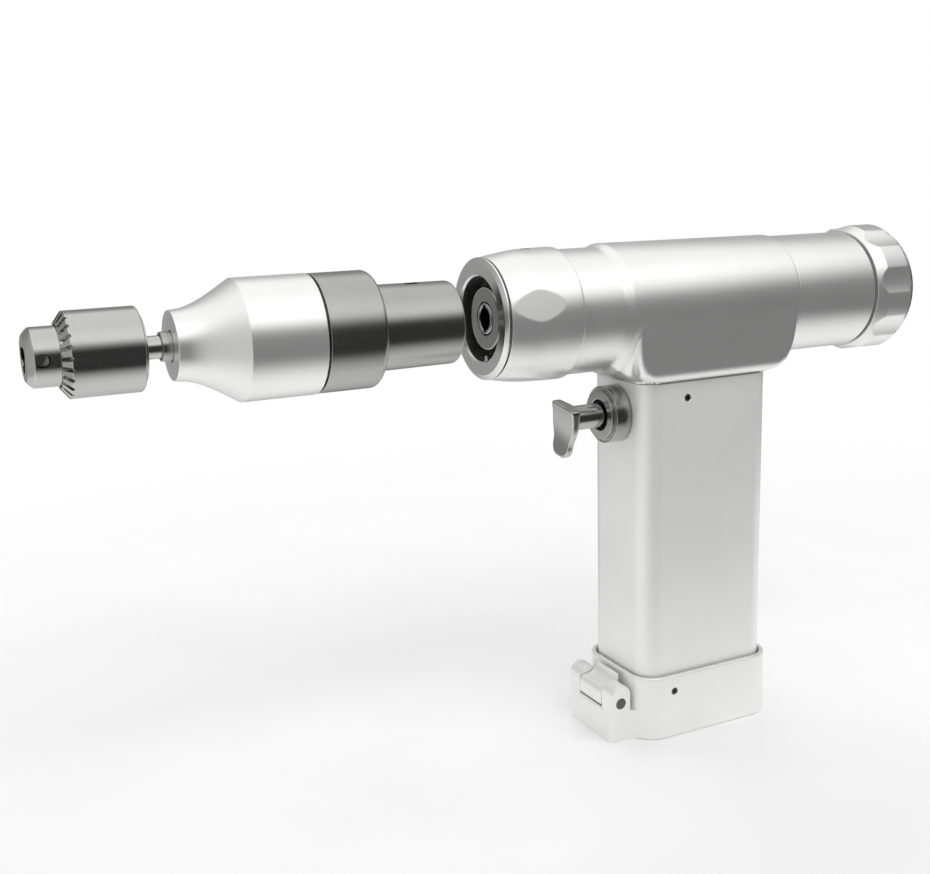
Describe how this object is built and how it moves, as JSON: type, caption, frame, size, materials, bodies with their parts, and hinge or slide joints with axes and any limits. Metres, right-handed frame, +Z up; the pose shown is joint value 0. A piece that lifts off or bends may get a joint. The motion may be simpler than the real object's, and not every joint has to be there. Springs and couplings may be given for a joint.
{
  "type": "cannulated surgical power drill with keyed chuck attachment",
  "caption": "Pistol-grip cannulated bone drill with a locking nose coupling, plunger trigger, rear mode ring, latched battery foot and a keyed drill chuck attachment drawn out of the nose.",
  "frame": {"origin": "middle of the handle's plan on the surface that the battery cap stands on", "axes": "+X along the barrel from the coupling to the rear cap, +Z up the handle, +Y to the side that the cap screw's partner faces"},
  "size_m": [0.3397, 0.051, 0.1928],
  "materials": {
    "satin_aluminium": "satin",
    "bright_aluminium": "fine turned",
    "satin_steel": "satin",
    "polished_steel": "polished",
    "dark_steel": "blackened",
    "enamelled_copper": "enamelled copper",
    "nickel_plate": "nickel plate",
    "black_plastic": "moulded",
    "black_rubber": "matt",
    "circuit_board": "solder mask",
    "battery_wrap": "shrink wrap",
    "gold_contact": "gold plate",
    "brass": "cut"
  },
  "bodies": {
    "handpiece": {"main_body": "satin_aluminium", "nose_ring": "bright_aluminium", "coupling_hub": "satin_steel", "spindle_bearing_front": "polished_steel", "spindle_bearing_rear": "polished_steel", "bearing_spacer": "satin_steel", "ring_gear": "satin_steel", "motor_front_plate": "satin_aluminium", "motor_bearing_front": "polished_steel", "stator_core": "satin_steel", "stator_winding_front": "enamelled_copper", "stator_winding_rear": "enamelled_copper", "motor_rear_plate": "satin_aluminium", "motor_bearing_rear": "polished_steel", "drive_board": "circuit_board", "cannula_tube": "satin_steel", "rear_housing": "satin_aluminium", "mode_sensor_board": "circuit_board", "rear_cap": "bright_aluminium", "handle_shell": "satin_aluminium", "handle_screw_near": "dark_steel", "handle_screw_far": "dark_steel", "trigger_guide": "satin_steel", "trigger_seal": "black_rubber", "trigger_spring": "polished_steel", "switch_module": "black_plastic", "contact_block": "black_plastic"},
    "lock_ring": {"lock_ring": "satin_aluminium", "lock_ring_plug": "dark_steel"},
    "lock_dog": {"lock_dog": "polished_steel"},
    "mode_ring": {"mode_ring": "satin_aluminium", "mode_magnet": "nickel_plate"},
    "trigger": {"trigger": "satin_steel"},
    "spindle": {"output_spindle": "polished_steel"},
    "planet_1": {"planet_gear_1": "brass"},
    "planet_2": {"planet_gear_2": "brass"},
    "planet_3": {"planet_gear_3": "brass"},
    "rotor": {"motor_shaft": "polished_steel", "rotor_magnets": "nickel_plate"},
    "battery_cap": {"battery_cap": "satin_aluminium", "battery_pack": "battery_wrap", "battery_contacts": "gold_contact", "cap_screw_near": "dark_steel", "cap_screw_far": "dark_steel", "latch_pin": "dark_steel", "latch_spring": "polished_steel"},
    "latch_lever": {"latch_lever": "satin_aluminium"},
    "attachment": {"attachment_housing": "satin_aluminium", "attachment_coupling": "satin_steel", "attachment_bearing_front": "polished_steel", "attachment_bearing_rear": "polished_steel", "shaft_bush": "polished_steel"},
    "drive_line": {"drive_shaft": "polished_steel", "chuck_body": "polished_steel"},
    "chuck_sleeve": {"chuck_sleeve": "polished_steel", "chuck_nut": "satin_steel"},
    "jaw_1": {"chuck_jaw_1": "polished_steel"},
    "jaw_2": {"chuck_jaw_2": "polished_steel"},
    "jaw_3": {"chuck_jaw_3": "polished_steel"}
  },
  "joints": [
    {"name": "attachment_slide", "type": "slide", "parent": "handpiece", "child": "attachment", "axis": [1, 0, 0], "range_m": [0, 0.0417]},
    {"name": "lock_ring_turn", "type": "hinge", "parent": "handpiece", "child": "lock_ring", "pos_m": [-0.0873, 0, 0.1673], "axis": [1, 0, 0], "range_deg": [0, 30]},
    {"name": "lock_dog_press", "type": "slide", "parent": "handpiece", "child": "lock_dog", "axis": [0, 0, -1], "range_m": [0, 0.002]},
    {"name": "mode_ring_turn", "type": "hinge", "parent": "handpiece", "child": "mode_ring", "pos_m": [0.0782, 0, 0.1673], "axis": [1, 0, 0], "range_deg": [-30, 30]},
    {"name": "trigger_pull", "type": "slide", "parent": "handpiece", "child": "trigger", "axis": [1, 0, 0], "range_m": [0, 0.008], "stiffness_N_per_m": 900, "springref_m": -0.004},
    {"name": "spindle_spin", "type": "hinge", "parent": "handpiece", "child": "spindle", "pos_m": [-0.0873, 0, 0.1673], "axis": [1, 0, 0], "continuous": true},
    {"name": "rotor_spin", "type": "hinge", "parent": "handpiece", "child": "rotor", "pos_m": [-0.0462, 0, 0.1673], "axis": [1, 0, 0], "continuous": true},
    {"name": "planet_1_spin", "type": "hinge", "parent": "spindle", "child": "planet_1", "pos_m": [-0.0462, 0, 0.179], "axis": [1, 0, 0], "continuous": true},
    {"name": "planet_2_spin", "type": "hinge", "parent": "spindle", "child": "planet_2", "pos_m": [-0.0462, 0.01013, 0.16145], "axis": [1, 0, 0], "continuous": true},
    {"name": "planet_3_spin", "type": "hinge", "parent": "spindle", "child": "planet_3", "pos_m": [-0.0462, -0.01013, 0.16145], "axis": [1, 0, 0], "continuous": true},
    {"name": "battery_cap_slide", "type": "slide", "parent": "handpiece", "child": "battery_cap", "axis": [0, 0, -1], "range_m": [0, 0.085]},
    {"name": "latch_lever_press", "type": "hinge", "parent": "battery_cap", "child": "latch_lever", "pos_m": [-0.03735, 0, 0.0156], "axis": [0, -1, 0], "range_deg": [0, 12], "stiffness_Nm_per_rad": 0.25, "springref_deg": -11.46},
    {"name": "chuck_spin", "type": "hinge", "parent": "attachment", "child": "drive_line", "pos_m": [-0.2405, 0, 0.1673], "axis": [1, 0, 0], "continuous": true},
    {"name": "chuck_sleeve_turn", "type": "hinge", "parent": "drive_line", "child": "chuck_sleeve", "pos_m": [-0.2405, 0, 0.1673], "axis": [1, 0, 0], "range_deg": [0, 1080]},
    {"name": "jaw_1_slide", "type": "slide", "parent": "drive_line", "child": "jaw_1", "axis": [-0.9703, 0.2095, -0.121], "range_m": [0, 0.0106]},
    {"name": "jaw_2_slide", "type": "slide", "parent": "drive_line", "child": "jaw_2", "axis": [-0.9703, 0, 0.2419], "range_m": [0, 0.0106]},
    {"name": "jaw_3_slide", "type": "slide", "parent": "drive_line", "child": "jaw_3", "axis": [-0.9703, -0.2095, -0.121], "range_m": [0, 0.0106]}
  ],
  "couplings": [
    {"joint": "lock_dog_press", "follows": "lock_ring_turn", "m_per_rad": 0.0038159},
    {"joint": "rotor_spin", "follows": "spindle_spin", "ratio": 4},
    {"joint": "planet_1_spin", "follows": "spindle_spin", "ratio": -3},
    {"joint": "planet_2_spin", "follows": "spindle_spin", "ratio": -3},
    {"joint": "planet_3_spin", "follows": "spindle_spin", "ratio": -3},
    {"joint": "chuck_spin", "follows": "spindle_spin", "ratio": 1},
    {"joint": "jaw_1_slide", "follows": "chuck_sleeve_turn", "m_per_rad": 0.00055704},
    {"joint": "jaw_2_slide", "follows": "chuck_sleeve_turn", "m_per_rad": 0.00055704},
    {"joint": "jaw_3_slide", "follows": "chuck_sleeve_turn", "m_per_rad": 0.00055704}
  ]
}
